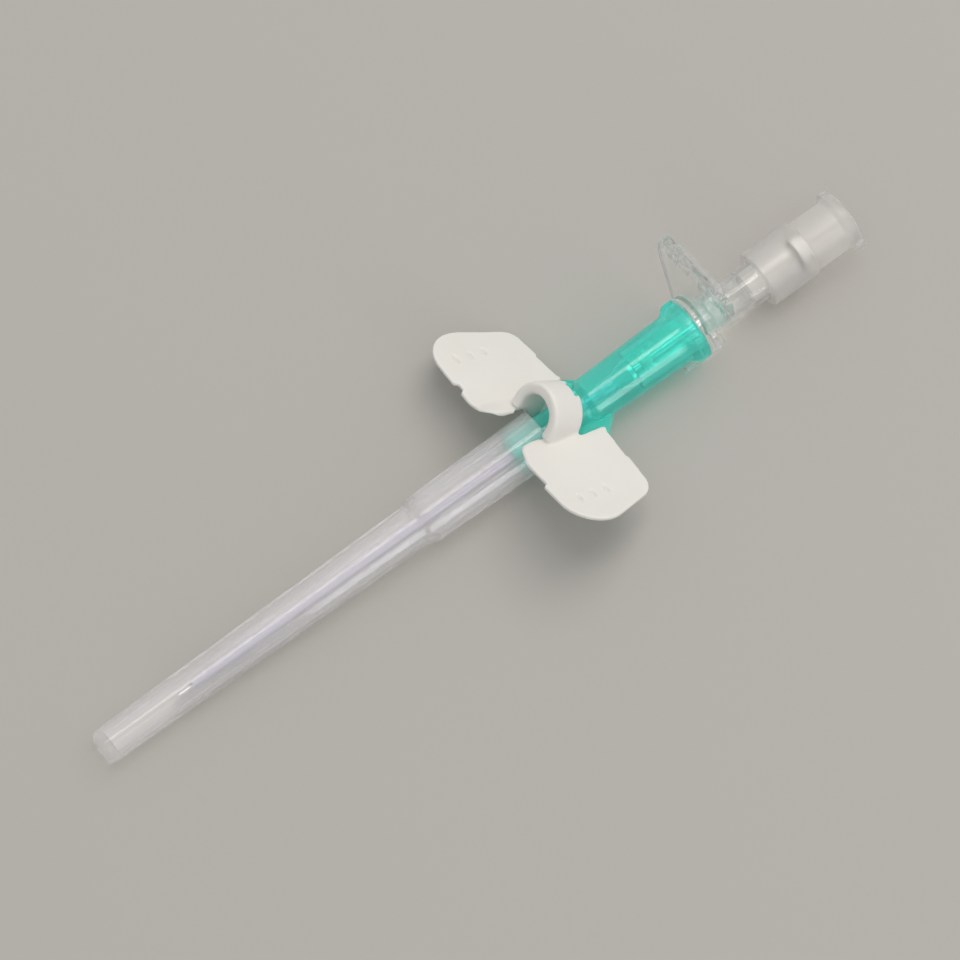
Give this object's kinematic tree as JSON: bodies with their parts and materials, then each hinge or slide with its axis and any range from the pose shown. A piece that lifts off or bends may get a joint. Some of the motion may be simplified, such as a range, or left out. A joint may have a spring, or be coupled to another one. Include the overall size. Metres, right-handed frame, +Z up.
{
  "type": "iv cannula",
  "caption": "Winged peripheral intravenous cannula, green 18 gauge, with steel needle, clear needle hub, vented plug and frosted needle cover, lying on its side wing.",
  "frame": {"origin": "centre of the mouth of the luer socket at the rear of the catheter hub", "axes": "X runs along the device, +X from the needle's tip towards the vented plug; +Y points to the wing whose rear corner rests on the table; +Z is up from the table"},
  "size_m": [0.1064, 0.0322, 0.0143],
  "materials": {
    "hub_plastic": "translucent, smooth",
    "clip_plastic": "soft, satin",
    "cover_plastic": "frosted",
    "clear_plastic": "clear, polished",
    "plug_plastic": "milky, satin",
    "tube_plastic": "smooth",
    "needle_steel": "polished",
    "eyelet_steel": "polished",
    "filter_fibre": "porous"
  },
  "bodies": {
    "cover_unit": {"needle_cover": "cover_plastic"},
    "hub_unit": {"catheter_hub": "hub_plastic", "catheter_tube": "tube_plastic", "catheter_eyelet": "eyelet_steel", "wing_clip": "clip_plastic"},
    "needle_unit": {"needle": "needle_steel", "needle_hub": "clear_plastic"},
    "plug_unit": {"vent_plug": "plug_plastic", "vent_filter": "filter_fibre"}
  },
  "joints": [
    {"name": "hub_slide", "type": "slide", "parent": "cover_unit", "child": "hub_unit", "axis": [0.9998, 0, 0.0211], "range_m": [0, 0.056]},
    {"name": "needle_slide", "type": "slide", "parent": "hub_unit", "child": "needle_unit", "axis": [0.9998, 0, 0.0211], "range_m": [0, 0.076]},
    {"name": "plug_slide", "type": "slide", "parent": "needle_unit", "child": "plug_unit", "axis": [0.9998, 0, 0.0211], "range_m": [0, 0.01]}
  ]
}
